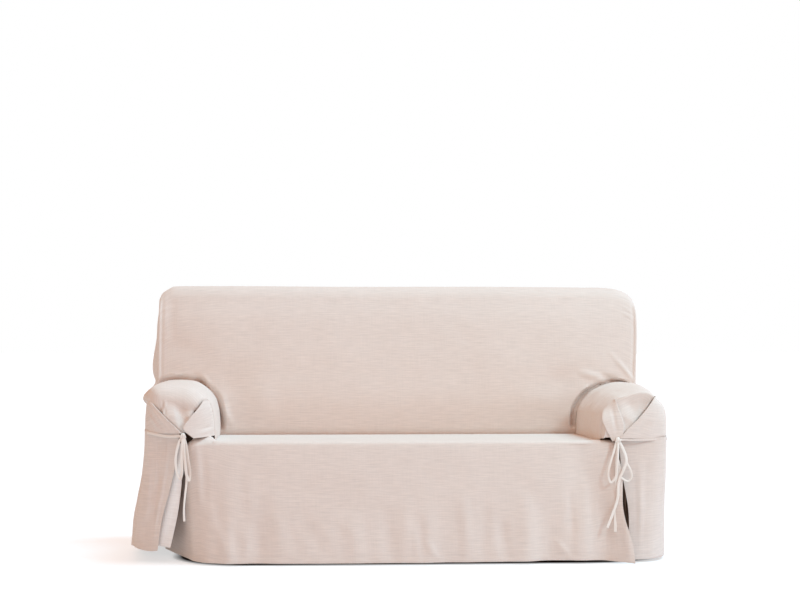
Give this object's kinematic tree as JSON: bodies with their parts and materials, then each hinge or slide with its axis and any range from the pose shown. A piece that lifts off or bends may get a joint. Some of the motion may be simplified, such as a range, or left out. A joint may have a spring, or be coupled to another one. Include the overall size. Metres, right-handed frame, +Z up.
{
  "type": "sofa slipcover",
  "caption": "Loose fitted cover for a two-seat sofa with rolled arms: hollow cloth, open below, with envelope arm fronts held by tied ribbons.",
  "frame": {"origin": "under the middle of the cover's top, 5 mm below the inside of the cloth, where the sofa's back carries it", "axes": "+X to the right of someone who faces the sofa, -Y towards its front, +Z up"},
  "size_m": [1.871, 0.9438, 0.9482],
  "materials": {
    "linen": "matt slubbed linen weave, blush beige",
    "ribbon": "matt cotton tape, cream"
  },
  "bodies": {
    "root": {"inside_back": "linen", "outer_back": "linen", "gusset_left": "linen", "gusset_right": "linen", "seat": "linen", "front_skirt": "linen", "arm_left": "linen", "arm_right": "linen", "wing_inner_left": "linen", "wing_outer_left": "linen", "wing_inner_right": "linen", "wing_outer_right": "linen", "side_left": "linen", "side_right": "linen", "underlay_left": "linen", "tie_band_left": "ribbon", "tie_band_right": "ribbon", "tie_bow_left": "ribbon", "tie_bow_right": "ribbon"}
  },
  "joints": []
}
